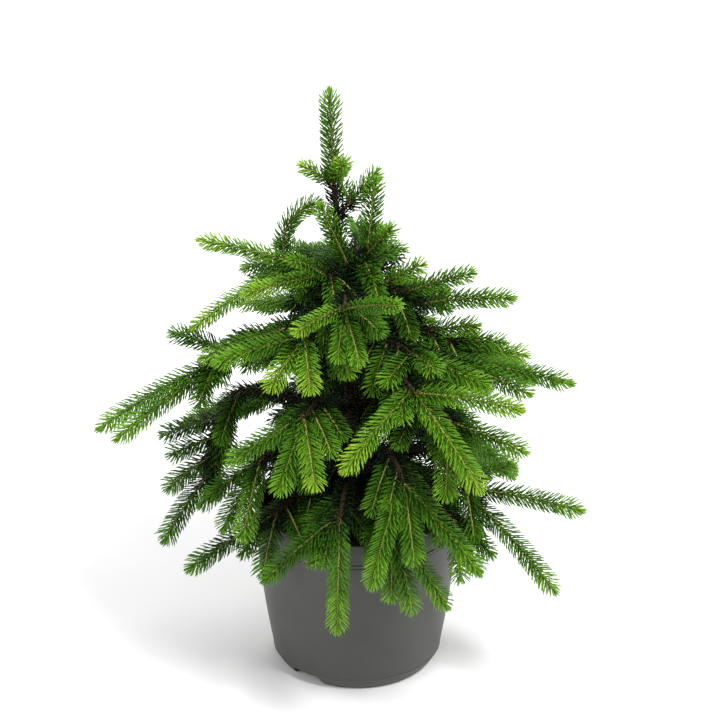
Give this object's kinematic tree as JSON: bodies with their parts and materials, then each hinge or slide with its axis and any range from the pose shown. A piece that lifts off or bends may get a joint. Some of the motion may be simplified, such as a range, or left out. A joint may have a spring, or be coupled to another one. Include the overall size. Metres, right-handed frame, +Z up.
{
  "type": "potted weeping conifer",
  "caption": "Young weeping spruce with drooping needle shoots round a slender leaning trunk, standing in its round grey nursery pot.",
  "frame": {"origin": "centre of the pot's underside, on the surface that it stands on", "axes": "+Z up along the pot's axis, +X to the right and +Y away from the viewer in the picture's front view"},
  "size_m": [0.48, 0.4552, 0.6152],
  "materials": {
    "pot": "mid-grey moulded polypropylene, softly satin",
    "soil": "dark brown crumbly potting soil",
    "bark": "rough brown bark with leaf pegs",
    "needles": "green needles, slightly waxy"
  },
  "bodies": {
    "root": {"back_1": "needles", "back_10": "needles", "back_11": "needles", "back_12": "needles", "back_2": "needles", "back_3": "needles", "back_4": "needles", "back_5": "needles", "back_6": "needles", "back_7": "needles", "back_8": "needles", "back_9": "needles", "bough_back_1": "bark", "bough_back_11": "bark", "bough_back_3": "bark", "bough_back_5": "bark", "bough_back_7": "bark", "bough_back_9": "bark", "bough_far_left": "bark", "bough_front_high": "bark", "bough_front_left": "bark", "bough_front_right": "bark", "bough_front_skirt": "bark", "bough_left_front": "bark", "bough_left_high": "bark", "bough_left_low": "bark", "bough_left_skirt": "bark", "bough_right_front": "bark", "bough_right_high": "bark", "bough_right_low": "bark", "bough_right_mid": "bark", "centre_rise": "needles", "far_left": "needles", "front_high": "needles", "front_left": "needles", "front_right": "needles", "front_right_skirt": "needles", "front_skirt": "needles", "leader": "needles", "left_front": "needles", "left_high": "needles", "left_hoop": "needles", "left_inner": "needles", "left_low": "needles", "left_mid": "needles", "left_skirt": "needles", "left_under": "needles", "pot": "pot", "right_front": "needles", "right_hang": "needles", "right_high": "needles", "right_inner": "needles", "right_low": "needles", "right_mid": "needles", "right_reach": "needles", "right_rise": "needles", "right_skirt": "needles", "soil": "soil", "top_right": "needles", "trunk": "bark"}
  },
  "joints": []
}
